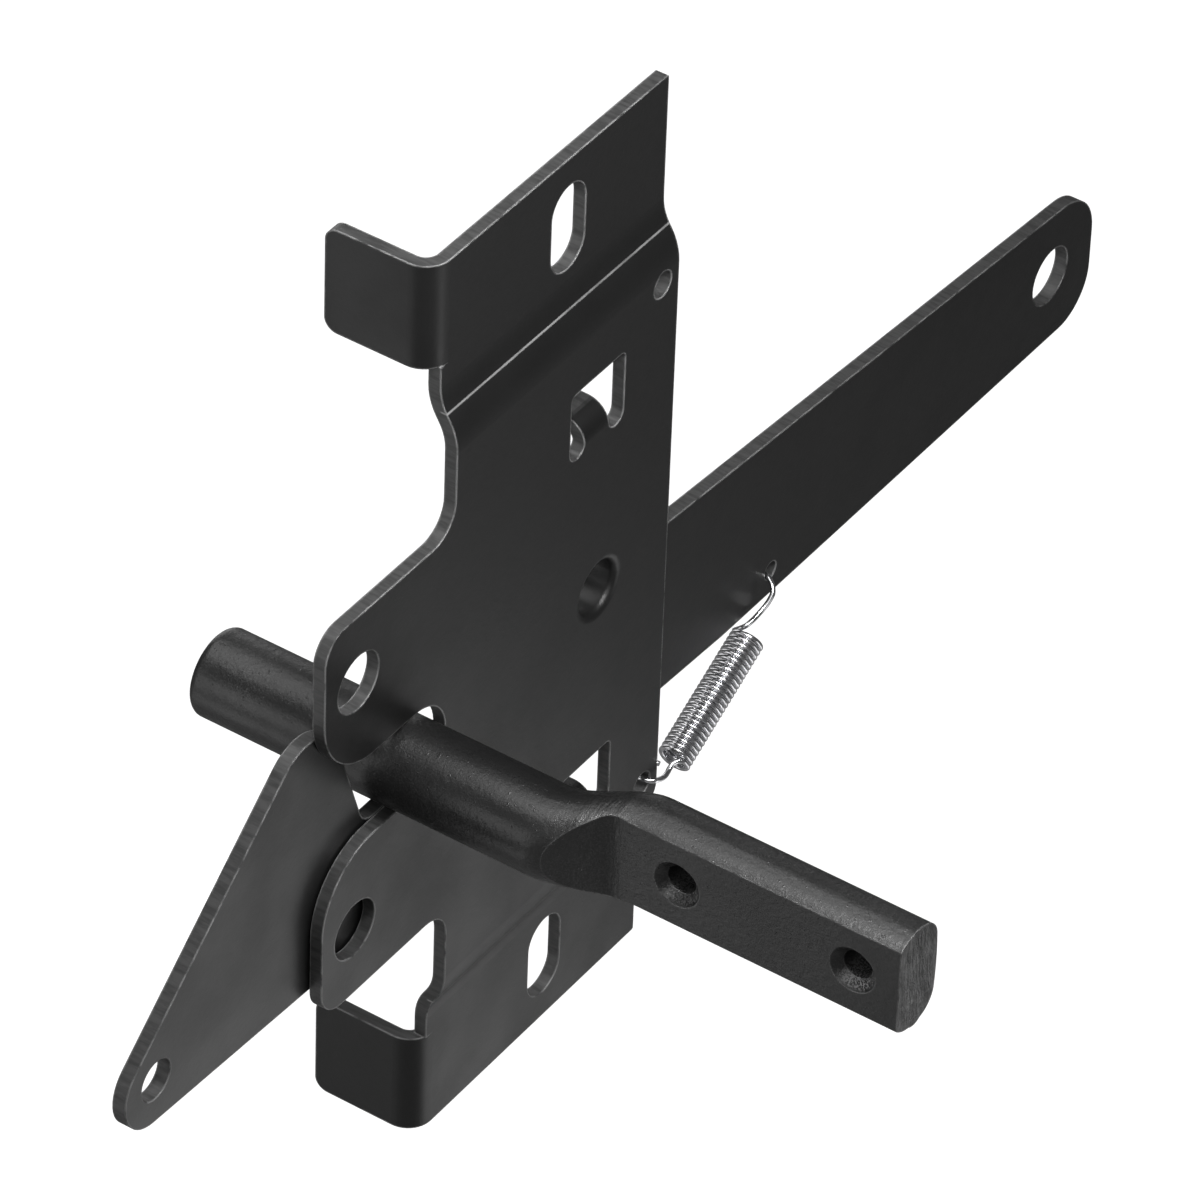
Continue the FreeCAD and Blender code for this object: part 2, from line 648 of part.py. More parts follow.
def coil_ring(number, distance, radius):
    """One flat-sided ring round the coil's axis, its radius bound to a formula."""
    ring = doc.addObject("Part::RegularPolygon", f"coil_ring_{number}")
    ring.Polygon = COIL_SIDES
    bind(ring, "Circumradius", radius)
    ring.Placement = Placement(coil_top + along * distance, along_coil)
    return ring


coil_rings = [coil_ring(0, 0, "{coil_radius}")]
for turn in range(coil_turns):
    crest = coil_ring(2 * turn + 1, (turn + 0.5) * pitch, "{coil_radius} + {wire_radius}")
    valley = coil_ring(2 * turn + 2, (turn + 1) * pitch, "{coil_radius}")
    coil_rings += [crest, valley]
coil_skin = doc.addObject("Part::Loft", "coil_skin")
coil_skin.Sections = coil_rings
coil_skin.Solid = True
coil_skin.Ruled = True
coil_bore = doc.addObject("Part::Prism", "coil_bore")
coil_bore.Polygon = COIL_SIDES
bind(coil_bore, "Circumradius", "{coil_radius} - {wire_radius}")
coil_bore.Height = coil_length + 2 * pitch
coil_bore.Placement = Placement(coil_top - along * pitch, along_coil)
coils = doc.addObject("Part::Cut", "coils")
coils.Base = coil_skin
coils.Tool = coil_bore
spring_parts = [coils]


def wire_hook(name, radius, hole, hole_radius, gauge, coil_end):
    """Open loop that bears on a hole's near edge, passes round the sheet and joins the coil."""
    reach = Vector(coil_end.x - hole.x, 0, coil_end.z - hole.z).normalize()
    sag = size(radius) - math.sqrt(size(radius) ** 2 - (gauge / 2) ** 2)
    seat = hole_radius - spring_wire - sag - size("hook_seat")
    centre = hole + reach * (seat + size(radius))
    front = (reach - Vector(0, 1, 0)).normalize()
    side = Vector(0, 1, 0).cross(reach)
    start = centre + front * size(radius)
    section = doc.addObject("Part::RegularPolygon", name + "_section")
    section.Polygon = WIRE_SIDES
    bind(section, "Circumradius", "{wire_radius}")
    section.Placement = Placement(start, Rotation(front, side, front.cross(side), "ZXY"))
    loop = doc.addObject("Part::Revolution", name)
    loop.Source = section
    loop.Base = centre
    loop.Axis = side
    loop.Angle = size("hook_sweep")
    loop.Solid = True
    radial = start - coil_end
    radial = (radial - along * radial.dot(along)).normalize()
    run = coil_end + radial * coil - start
    lead = doc.addObject("Part::Prism", name + "_lead")
    lead.Polygon = WIRE_SIDES
    bind(lead, "Circumradius", "{wire_radius}")
    lead.Height = run.Length + spring_wire
    lead.Placement = Placement(
        start - run.normalize() * spring_wire, Rotation(Vector(0, 0, 1), run)
    )
    spring_parts.extend([loop, lead])


lever_middle = -(size("offset_depth") - size("lever_gap") - size("lever_gauge") / 2)
lever_hole = Vector(size("spring_hole_x"), lever_middle, size("spring_hole_z"))
plate_middle = (middle_front + middle_back) / 2
plate_hole = Vector(size("anchor_x"), plate_middle, -size("anchor_z"))
wire_hook(
    "upper_hook", "hook_radius_top", lever_hole, size("spring_hole_radius"),
    size("lever_gauge"), coil_top,
)
wire_hook(
    "lower_hook", "hook_radius_low", plate_hole, size("anchor_radius"),
    size("sheet_gauge"), coil_low,
)
spring = doc.addObject("Part::MultiFuse", "spring_wire")
spring.Shapes = spring_parts
spring.Label = "return_spring"

doc.recompute()
pieces = [plate, lever, bar, spring]

for item in doc.Objects:
    if "Invalid" in item.State or "Error" in item.State:
        raise RuntimeError(item.Name + " did not compute")
for piece in pieces:
    if piece.Shape.isNull() or not piece.Shape.isValid():
        raise RuntimeError(piece.Label + " has no valid shape")

os.makedirs("parts", exist_ok=True)
for piece in pieces:
    piece.Shape.exportStep(f"parts/{piece.Label}.step")
    print(piece.Label, len(piece.Shape.Solids), round(piece.Shape.Volume, 1))
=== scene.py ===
"""Visual model of a post-mounted gate latch, dressed over its measured frame."""

import json
import logging
import math
from dataclasses import dataclass, field
from enum import Enum

import bpy
from mathutils import Matrix, Vector


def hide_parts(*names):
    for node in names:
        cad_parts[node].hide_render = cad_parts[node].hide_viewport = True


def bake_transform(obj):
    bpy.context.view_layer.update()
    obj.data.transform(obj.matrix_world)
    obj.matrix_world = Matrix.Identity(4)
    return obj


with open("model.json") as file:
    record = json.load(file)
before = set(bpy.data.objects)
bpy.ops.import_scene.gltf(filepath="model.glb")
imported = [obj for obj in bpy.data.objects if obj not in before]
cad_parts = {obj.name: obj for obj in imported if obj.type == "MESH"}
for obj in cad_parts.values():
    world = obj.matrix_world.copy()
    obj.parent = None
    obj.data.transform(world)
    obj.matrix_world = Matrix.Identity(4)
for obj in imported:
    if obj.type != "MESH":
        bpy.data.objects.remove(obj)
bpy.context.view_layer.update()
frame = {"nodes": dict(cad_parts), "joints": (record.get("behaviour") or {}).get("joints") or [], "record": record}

logging.basicConfig(level=logging.INFO, format="%(levelname)s %(message)s")
LOG = logging.getLogger("gate_latch")

Socket = bpy.types.NodeSocket
Level = Socket | float

MM = 0.001
WHITE = (1.0, 1.0, 1.0, 1.0)
BEVEL_SAMPLES = 6


class Coat(Enum):
    """The black finishes, valued by their mean roughness."""

    SATIN = 0.40
    FORGED = 0.37


@dataclass(frozen=True)
class NodeRack:
    """Thin wrapper round a node tree that adds and wires nodes.

    Args:
        tree: The node tree.
    """

    tree: bpy.types.NodeTree

    def add(self, kind: str, values: dict[str, object] | None = None,
            **settings: object) -> bpy.types.Node:
        """Adds a node, sets its properties and then its inputs.

        Args:
            kind: Node type, such as "ShaderNodeTexNoise".
            values: Values of its inputs, by name.
            settings: Properties of the node, by name.

        Returns:
            The new node.
        """
        node = self.tree.nodes.new(kind)
        for name, setting in settings.items():
            setattr(node, name, setting)
        for name, value in (values or {}).items():
            node.inputs[name].default_value = value
        return node

    def wire(self, source: Socket, target: Socket) -> None:
        """Links an output to an input.

        Args:
            source: Output of a node.
            target: Input of a node.
        """
        self.tree.links.new(source, target)

    def feed(self, level: Level, target: Socket) -> None:
        """Gives an input a number, or links a socket to it.

        Args:
            level: The number or the socket.
            target: Input of a node.
        """
        if isinstance(level, (int, float)):
            target.default_value = level
        else:
            self.wire(level, target)

    def position(self) -> Socket:
        """Adds the object's coordinates.

        Returns:
            The coordinates, in metres.
        """
        return self.add("ShaderNodeTexCoord").outputs["Object"]

    def split(self, vector: Socket) -> dict[str, Socket]:
        """Splits a vector.

        Args:
            vector: The vector.

        Returns:
            The sockets X, Y and Z.
        """
        node = self.add("ShaderNodeSeparateXYZ")
        self.wire(vector, node.inputs["Vector"])
        return {socket.name: socket for socket in node.outputs}

    def stretched(self, scale: tuple[float, float, float],
                  turn: tuple[float, float, float] = (0.0, 0.0, 0.0)) -> Socket:
        """Adds the object's coordinates for a texture that runs one way.

        Args:
            scale: Factor on each axis; a small one draws the texture out along it.
            turn: Rotation about each axis, in radians.

        Returns:
            The coordinates.
        """
        node = self.add("ShaderNodeMapping", {"Scale": scale, "Rotation": turn})
        self.wire(self.position(), node.inputs["Vector"])
        return node.outputs["Vector"]

    def noise(self, where: Socket, scale: Level, detail: float, rough: float = 0.5) -> Socket:
        """Adds a noise texture.

        Args:
            where: Coordinates to sample.
            scale: Cells per metre.
            detail: Octaves.
            rough: Weight of the finer octaves.

        Returns:
            The grey output.
        """
        node = self.add("ShaderNodeTexNoise", {"Detail": detail, "Roughness": rough})
        self.feed(scale, node.inputs["Scale"])
        self.wire(where, node.inputs["Vector"])
        return node.outputs["Fac"]

    def ramp(self, value: Socket, low: float, high: float,
             to_low: float = 0.0, to_high: float = 1.0) -> Socket:
        """Maps a range of a value onto another range, smoothly.

        Args:
            value: Input value.
            low: Value that becomes to_low.
            high: Value that becomes to_high.
            to_low: Result at the low end.
            to_high: Result at the high end.

        Returns:
            The mapped value.
        """
        ends = {"From Min": low, "From Max": high, "To Min": to_low, "To Max": to_high}
        node = self.add("ShaderNodeMapRange", ends, interpolation_type="SMOOTHSTEP")
        self.wire(value, node.inputs["Value"])
        return node.outputs["Result"]

    def greys(self, under: Level, over: Level, mask: Socket) -> Socket:
        """Mixes two grey levels by a mask.

        Args:
            under: Level where the mask is 0.
            over: Level where the mask is 1.
            mask: Share of the second level.

        Returns:
            The mixed level.
        """
        mix = self.add("ShaderNodeMix", data_type="FLOAT")
        self.feed(under, mix.inputs["A"])
        self.feed(over, mix.inputs["B"])
        self.wire(mask, mix.inputs["Factor"])
        return mix.outputs["Result"]

    def math(self, operation: str, first: Level, second: Level = 0.0) -> Socket:
        """Adds a math node.

        Args:
            operation: Name of the operation.
            first: First operand.
            second: Second operand, where the operation has one.

        Returns:
            The result.
        """
        node = self.add("ShaderNodeMath", operation=operation)
        for operand, target in zip((first, second), node.inputs):
            self.feed(operand, target)
        return node.outputs["Value"]

    def product(self, first: Level, *others: Level) -> Socket:
        """Multiplies levels, from the left.

        Args:
            first: First factor.
            others: The other factors.

        Returns:
            The product.
        """
        result = first
        for factor in others:
            result = self.math("MULTIPLY", result, factor)
        return result

    def distance(self, first: Socket, first_centre: float,
                 second: Socket, second_centre: float) -> Socket:
        """Distance from an axis, from two coordinates across it.

        Args:
            first: First coordinate.
            first_centre: The axis's value of it.
            second: Second coordinate.
            second_centre: The axis's value of it.

        Returns:
            The distance, in metres.
        """
        one = self.math("POWER", self.math("SUBTRACT", first, first_centre), 2.0)
        two = self.math("POWER", self.math("SUBTRACT", second, second_centre), 2.0)
        return self.math("SQRT", self.math("ADD", one, two))


def mount(name: str) -> dict[str, object]:
    """Looks up one of the frame's mounts.

    Args:
        name: Name of the mount in the record.

    Returns:
        Its entry, with its place in metres under "pos_m".
    """
    return next(entry for entry in frame["record"]["mounts"] if entry["name"] == name)


def screw_places() -> tuple[tuple[float, float], ...]:
    """Places of the two countersunk holes in the bar's pad.

    Returns:
        Y and Z of each hole, in metres.
    """
    holes = mount("gate_screw_holes")
    along, up = holes["pos_m"][1:]
    half = holes["dims"]["spacing_x_mm"] / 2 * MM
    return (along + half, up), (along - half, up)


def used_anchor() -> Vector:
    """Place of the plate's hole that holds the spring, the spare hole's mirror image.

    Returns:
        The middle of the hole, in metres.
    """
    across, depth, up = mount("spare_spring_hole")["pos_m"]
    return Vector((across, depth, -up))


def new_group(name: str, inputs: dict[str, float],
              output: str) -> tuple[NodeRack, dict[str, Socket], Socket]:
    """Starts a shader node group with float inputs and one float output.

    Args:
        name: Name of the group.
        inputs: Default of each input, by name.
        output: Name of the output.

    Returns:
        The group's rack, its inputs by name, and the socket that its output takes.
    """
    tree = bpy.data.node_groups.new(name, "ShaderNodeTree")
    for socket, default in inputs.items():
        made = tree.interface.new_socket(name=socket, in_out="INPUT", socket_type="NodeSocketFloat")
        made.default_value = default
    tree.interface.new_socket(name=output, in_out="OUTPUT", socket_type="NodeSocketFloat")
    rack = NodeRack(tree)
    given = {socket.name: socket for socket in rack.add("NodeGroupInput").outputs}
    return rack, given, rack.add("NodeGroupOutput").inputs[output]


def new_material(name: str) -> tuple[bpy.types.Material, NodeRack, bpy.types.Node]:
    """Starts a material.

    Args:
        name: Name of the material.

    Returns:
        The material, its rack and its Principled shader.
    """
    material = bpy.data.materials.new(name)
    material.use_nodes = True
    nodes = material.node_tree.nodes
    shader = next(node for node in nodes if node.type == "BSDF_PRINCIPLED")
    return material, NodeRack(material.node_tree), shader


@dataclass
class ShaderKit:
    """The effects that more than one finish uses, each built once.

    Args:
        ripple_scale: Cells per metre of the peel's ripple.
        fine_scale: Cells per metre of the finer ripple on it.
        fine_share: Height of the finer ripple against the other.
        nib_scale: Cells per metre of the dust nibs.
        edge_highlight_radius: Reach of the painted highlight line from an edge, in metres.
        edge_highlight_gap_scale: Cells per metre of the gaps in the painted highlight line.
    """

    ripple_scale: float = 900.0
    fine_scale: float = 2600.0
    fine_share: float = 0.45
    nib_scale: float = 1500.0
    edge_highlight_radius: float = 0.0006
    edge_highlight_gap_scale: float = 260.0
    orange_peel: bpy.types.NodeTree = field(init=False)
    worn_edge: bpy.types.NodeTree = field(init=False)
    handling: bpy.types.NodeTree = field(init=False)

    def __post_init__(self) -> None:
        """Builds every group."""
        self.orange_peel = self._orange_peel()
        self.worn_edge = self._edge_highlight()
        self.handling = self._handling()

    def _orange_peel(self) -> bpy.types.NodeTree:
        """Fine dried-paint ripple and dust nibs, as a share of the bump's distance.

        Returns:
            The group, with output Height.
        """
        rack, given, height = new_group("orange_peel", {"Ripple": 1.0, "Nibs": 1.0}, "Height")
        where = rack.position()
        coarse = rack.noise(where, self.ripple_scale, detail=2.0)
        fine = rack.product(rack.noise(where, self.fine_scale, detail=2.0), self.fine_share)
        ripple = rack.product(rack.math("ADD", coarse, fine), given["Ripple"])
        sparse = rack.ramp(rack.noise(where, self.nib_scale, detail=1.0, rough=0.3), 0.70, 0.78)
        nibs = rack.product(sparse, given["Nibs"])
        rack.wire(rack.math("ADD", ripple, nibs), height)
        return rack.tree

    def _edge_highlight(self) -> bpy.types.NodeTree:
        """Mask of a painted highlight: a thin light line along sharp edges, broken into patches.

        Returns:
            The group, with output Edge.
        """
        rack, given, edge = new_group("worn_edge", {"Strength": 1.0}, "Edge")
        bevel = rack.add("ShaderNodeBevel", {"Radius": self.edge_highlight_radius}, samples=BEVEL_SAMPLES)
        geometry = rack.add("ShaderNodeNewGeometry")
        dot = rack.add("ShaderNodeVectorMath", operation="DOT_PRODUCT")
        rack.wire(bevel.outputs["Normal"], dot.inputs[0])
        rack.wire(geometry.outputs["Normal"], dot.inputs[1])
        # Painted highlight: the mask is full where the shading normal turns away at a sharp edge.
        turned = rack.ramp(dot.outputs["Value"], 0.99, 0.88)
        gaps = rack.noise(rack.position(), self.edge_highlight_gap_scale, detail=4.0, rough=0.65)
        rack.wire(rack.product(turned, rack.ramp(gaps, 0.28, 0.56), given["Strength"]), edge)
        return rack.tree

    def _handling(self) -> bpy.types.NodeTree:
        """Broad uneven sheen left by drying and handling, centred on 0.5.

        Returns:
            The group, with output Cloud.
        """
        rack, given, cloud = new_group("handling", {"Scale": 45.0}, "Cloud")
        rack.wire(rack.noise(rack.position(), given["Scale"], detail=5.0, rough=0.6), cloud)
        return rack.tree


@dataclass(frozen=True)
class BlackCoat:
    """Black coat on steel with a painted edge highlight, but no mark of how the piece was made.

    Args:
        name: Name of the material.
        coat: How glossy it dried.
        tone: Linear grey of the coat.
        highlight_tone: Linear grey of the painted highlights on sharp edges and on the bends.
        ripple: Strength of the orange peel.
        relief: Height of the ripple, in metres.
        nibs: Strength of dust nibs.
        gloss: Strength of the coat's mirror part.
        sheen_swing: How far handling moves the roughness to either side.
        highlight_smoothing: How much smoother the coat is along the sharp edges.
        soft_edge: Radius that sharp edges are shaded with, in metres.
        bump: Strength of the relief in the shading.
    """

    name: str
    coat: Coat
    tone: float
    highlight_tone: float
    ripple: float = 1.0
    relief: float = 0.00006
    nibs: float = 0.5
    gloss: float = 0.5
    sheen_swing: float = 0.045
    highlight_smoothing: float = 0.06
    soft_edge: float = 0.00035
    bump: float = 0.32

    def build(self, kit: ShaderKit) -> bpy.types.Material:
        """Makes the material.

        Args:
            kit: Shared shader groups.

        Returns:
            The material.
        """
        material, rack, shader = new_material(self.name)
        shader.inputs["Specular IOR Level"].default_value = self.gloss
        edge = rack.add("ShaderNodeGroup", node_tree=kit.worn_edge).outputs["Edge"]
        cloud = rack.add("ShaderNodeGroup", node_tree=kit.handling).outputs["Cloud"]
        peel = rack.add("ShaderNodeGroup", {"Ripple": self.ripple, "Nibs": self.nibs},
                        node_tree=kit.orange_peel)

        # Painted highlight: the coat's grey is lightened along sharp edges by the edge mask.
        grey = rack.greys(self.tone, self.highlight_tone, edge)
        grey, height = self.marks(rack, grey, peel.outputs["Height"])
        colour = rack.add("ShaderNodeCombineColor")
        for channel in ("Red", "Green", "Blue"):
            rack.wire(grey, colour.inputs[channel])
        rack.wire(colour.outputs["Color"], shader.inputs["Base Color"])

        dull, bright = self.coat.value - self.sheen_swing, self.coat.value + self.sheen_swing
        sheen = rack.ramp(cloud, 0.3, 0.7, dull, bright)
        rough = rack.math("ADD", sheen, rack.product(edge, -self.highlight_smoothing))
        rack.wire(rough, shader.inputs["Roughness"])

        bevel = rack.add("ShaderNodeBevel", {"Radius": self.soft_edge}, samples=BEVEL_SAMPLES)
        bump = rack.add("ShaderNodeBump", {"Strength": self.bump, "Distance": self.relief})
        rack.wire(height, bump.inputs["Height"])
        rack.wire(bevel.outputs["Normal"], bump.inputs["Normal"])
        rack.wire(bump.outputs["Normal"], shader.inputs["Normal"])
        return material

    def marks(self, rack: NodeRack, grey: Socket, height: Socket) -> tuple[Socket, Socket]:
        """Adds the marks of how the piece was made.

        Args:
            rack: Rack of the material.
            grey: Grey of the coat so far.
            height: Height of the surface so far.

        Returns:
            The grey and the height with the marks.
        """
        return grey, height


@dataclass(frozen=True)
class SheetCoat(BlackCoat):
    """Black coat on punched sheet; lengths in metres.

    Args:
        cut_tone: Linear grey of the cut edges, where the coat is thin.
        tab_level: Y behind which only the bent tabs reach.
        tab_fade: How far in front of it the flats begin.
        pivot: Place of the lever's pivot, on the axis of the drawn collar.
        collar_radius: Radius round the pivot whose bore isn't a cut edge.
        collar_fade: How far outside it cut edges begin.
        streak_scale: Cells per metre across the shear marks of the cut edges.
        streak_relief: Height of the shear marks against the ripple.
        bend_highlight_height: Height of the painted highlight line on each offset bend, or None.
        line_fade: Distances from the line's middle where it ends and where it is full.
        front_fade: Y where the line ends and where it is full.
    """

    cut_tone: float = 0.06
    tab_level: float = 0.0006
    tab_fade: float = 0.0008
    pivot: tuple[float, float, float] = tuple(frame["joints"][0]["pos_m"])
    collar_radius: float = 0.0075
    collar_fade: float = 0.0005
    streak_scale: float = 1400.0
    streak_relief: float = 2.5
    bend_highlight_height: float | None = None
    line_fade: tuple[float, float] = (0.00024, 0.00006)
    front_fade: tuple[float, float] = (-0.0022, -0.0028)

    def marks(self, rack: NodeRack, grey: Socket, height: Socket) -> tuple[Socket, Socket]:
        """Adds lighter, streaked cut edges and the painted highlight line on the offset bends.

        Args:
            rack: Rack of the material.
            grey: Grey of the coat so far.
            height: Height of the surface so far.

        Returns:
            The grey and the height with the marks.
        """
        cut = self._cut_edge(rack)
        through_sheet = rack.stretched((1.0, 0.12, 1.0))
        streak = rack.noise(through_sheet, self.streak_scale, detail=3.0, rough=0.6)
        patchy = rack.product(cut, rack.ramp(streak, 0.3, 0.65, to_low=0.55))
        grey = rack.math("MAXIMUM", grey, rack.product(patchy, self.cut_tone))
        height = rack.math("ADD", height, rack.product(streak, cut, self.streak_relief))
        if self.bend_highlight_height is not None:
            # Painted highlight: a thin light line along the front of each offset bend.
            grey = rack.greys(grey, self.highlight_tone, self._bend_highlight(rack))
        return grey, height

    def _cut_edge(self, rack: NodeRack) -> Socket:
        """Mask of the edges that the punch cut through the sheet.

        A tab's face looks sideways as a cut edge of the flats does, so behind the flats only
        what looks up or down counts.

        Args:
            rack: Rack of the material.

        Returns:
            The mask.
        """
        facing = rack.split(rack.add("ShaderNodeNewGeometry").outputs["True Normal"])
        edgewise = rack.ramp(rack.math("ABSOLUTE", facing["Y"]), 0.35, 0.1)
        place = rack.split(rack.position())
        flats = rack.ramp(place["Y"], self.tab_level, self.tab_level - self.tab_fade)
        level = rack.ramp(rack.math("ABSOLUTE", facing["Z"]), 0.8, 0.95)
        away = rack.distance(place["X"], self.pivot[0], place["Z"], self.pivot[2])
        undrawn = rack.ramp(away, self.collar_radius, self.collar_radius + self.collar_fade)
        return rack.product(edgewise, rack.math("MAXIMUM", flats, level), undrawn)

    def _bend_highlight(self, rack: NodeRack) -> Socket:
        """Mask of the painted highlight, a thin line on the front of the offset bends.

        Args:
            rack: Rack of the material.

        Returns:
            The mask.
        """
        where = rack.position()
        place = rack.split(where)
        height = rack.math("ABSOLUTE", place["Z"])
        away = rack.math("ABSOLUTE", rack.math("SUBTRACT", height, self.bend_highlight_height))
        line = rack.ramp(away, *self.line_fade)
        front = rack.ramp(place["Y"], *self.front_fade)
        patches = rack.noise(where, scale=120.0, detail=4.0, rough=0.6)
        return rack.product(line, front, rack.ramp(patches, 0.25, 0.6, to_low=0.4, to_high=0.95))


@dataclass(frozen=True)
class ForgedCoat(BlackCoat):
    """Black coat on the forged and drilled bar; lengths in metres.

    Args:
        screws: Y and Z of the two countersunk holes.
        sink_radius: Radius of the countersinks.
        sink_fade: Distances inside that radius where the painted glints begin and are full.
        glint_fade: Y plus Z, from the hole's own, where the painted glints begin and are full.
        glint_tone: Linear grey of the painted glints, a painted highlight.
        fleck_scale: Cells per metre of the flecks.
        scale_gain: How much lighter the flecks of scale are than the coat.
        bend_start: Y where the hammered ribs beside the facet begin.
        bend_end: Y where they end.
        bend_fade: Length over which they fade in and out.
        rib_scale: Cells per metre along the ribs' row.
        rib_relief: Height of the ribs against the ripple.
        end_level: Y of the sheared end.
        end_fade: Depth over which its tearing fades in.
        torn_scale: Cells per metre of the tearing.
        torn_relief: Height of the tearing against the ripple.
        bare_tone: Linear grey of the bare steel in the tearing.
    """

    screws: tuple[tuple[float, float], ...] = screw_places()
    sink_radius: float = 0.00435
    sink_fade: tuple[float, float] = (0.0001, 0.0006)
    glint_fade: tuple[float, float] = (0.0022, -0.0018)
    glint_tone: float = 0.34
    fleck_scale: float = 3200.0
    scale_gain: float = 2.6
    bend_start: float = -0.0385
    bend_end: float = -0.0475
    bend_fade: float = 0.002
    rib_scale: float = 1300.0
    rib_relief: float = 3.5
    end_level: float = -0.0994
    end_fade: float = 0.00006
    torn_scale: float = 420.0
    torn_relief: float = 26.0
    bare_tone: float = 0.11

    def marks(self, rack: NodeRack, grey: Socket, height: Socket) -> tuple[Socket, Socket]:
        """Adds painted glints in the countersinks, ribs at the facet and a torn sheared end.

        Args:
            rack: Rack of the material.
            grey: Grey of the coat so far.
            height: Height of the surface so far.

        Returns:
            The grey and the height with the marks.
        """
        where = rack.position()
        place = rack.split(where)
        fleck = rack.ramp(rack.noise(where, self.fleck_scale, detail=2.0, rough=0.6), 0.47, 0.62)
        # Painted highlight: speckled glints on the lower front flank of each countersink.
        for along, up in self.screws:
            glint = rack.product(fleck, self._sink(rack, place, along, up))
            grey = rack.greys(grey, self.glint_tone, glint)
        patches = rack.ramp(rack.noise(where, scale=60.0, detail=3.0, rough=0.6), 0.35, 0.65)
        grey = rack.greys(grey, self.tone * self.scale_gain, rack.product(fleck, patches))

        begun = rack.ramp(place["Y"], self.bend_start, self.bend_start - self.bend_fade)
        unended = rack.ramp(place["Y"], self.bend_end, self.bend_end + self.bend_fade)
        ribs = rack.noise(rack.stretched((0.15, 1.0, 0.22)), self.rib_scale, detail=2.0)
        raised = rack.product(ribs, rack.product(begun, unended), self.rib_relief)
        height = rack.math("ADD", height, raised)

        at_end = rack.ramp(place["Y"], self.end_level, self.end_level - self.end_fade)
        slanting = rack.stretched((1.0, 1.0, 0.25), turn=(0.0, 0.3, 0.0))
        torn = rack.noise(slanting, self.torn_scale, detail=5.0, rough=0.65)
        height = rack.math("ADD", height, rack.product(torn, at_end, self.torn_relief))
        bare = rack.product(rack.ramp(torn, 0.5, 0.66), at_end)
        return rack.greys(grey, self.bare_tone, bare), height

    def _sink(self, rack: NodeRack, place: dict[str, Socket], along: float, up: float) -> Socket:
        """Mask of the lower front half of one countersink, where its painted glint goes.

        Args:
            rack: Rack of the material.
            place: Object coordinates.
            along: Y of the hole.
            up: Z of the hole.

        Returns:
            The mask.
        """
        away = rack.distance(place["Y"], along, place["Z"], up)
        outer, inner = (self.sink_radius - fade for fade in self.sink_fade)
        begin, full = (along + up + fade for fade in self.glint_fade)
        low_front = rack.ramp(rack.math("ADD", place["Y"], place["Z"]), begin, full)
        return rack.product(rack.ramp(away, outer, inner), low_front)


@dataclass(frozen=True)
class BrightZinc:
    """Bright zinc on drawn wire.

    Args:
        name: Name of the material.
        tone: Linear colour of the zinc.
        dull_share: Tone of the duller patches against it.
        patch_scale: Cells per metre of the patches.
        roughness: Mean roughness.
        relief: Height of the drawn wire's ripple, in metres.
        bump: Strength of the relief in the shading.
    """

    name: str = "bright_zinc"
    tone: tuple[float, float, float] = (0.90, 0.90, 0.92)
    dull_share: float = 0.72
    patch_scale: float = 420.0
    roughness: float = 0.2
    relief: float = 0.00004
    bump: float = 0.25

    def build(self, kit: ShaderKit) -> bpy.types.Material:
        """Makes the material.

        Args:
            kit: Shared shader groups.

        Returns:
            The material.
        """
        material, rack, shader = new_material(self.name)
        shader.inputs["Metallic"].default_value = 1.0
        patches = rack.add("ShaderNodeGroup", {"Scale": self.patch_scale}, node_tree=kit.handling)
        cloud = patches.outputs["Cloud"]
        dull = (*(channel * self.dull_share for channel in self.tone), 1.0)
        colour = rack.add("ShaderNodeMix", {"A": dull, "B": (*self.tone, 1.0)}, data_type="RGBA")
        rack.wire(rack.ramp(cloud, 0.35, 0.6), colour.inputs["Factor"])
        rack.wire(colour.outputs["Result"], shader.inputs["Base Color"])
        rough = rack.ramp(cloud, 0.3, 0.7, self.roughness + 0.08, self.roughness - 0.05)
        rack.wire(rough, shader.inputs["Roughness"])

        peel = rack.add("ShaderNodeGroup", {"Nibs": 0.0}, node_tree=kit.orange_peel)
        bump = rack.add("ShaderNodeBump", {"Strength": self.bump, "Distance": self.relief})
        rack.wire(peel.outputs["Height"], bump.inputs["Height"])
        rack.wire(bump.outputs["Normal"], shader.inputs["Normal"])
        return material


@dataclass(frozen=True)
class SteelPiece:
    """A rigid piece whose solid already has its true shape.

    Args:
        node: Name of the frame's node.
        finish: Material of the piece.
    """

    node: str
    finish: bpy.types.Material

    def build(self) -> bpy.types.Object:
        """Dresses the frame's own object.

        Returns:
            The dressed object.
        """
        piece = frame["nodes"][self.node]
        if not piece.data.materials:
            piece.data.materials.append(self.finish)
        for slot in piece.material_slots:
            slot.material = self.finish
        LOG.info("%s dressed with %s", self.node, self.finish.name)
        return piece


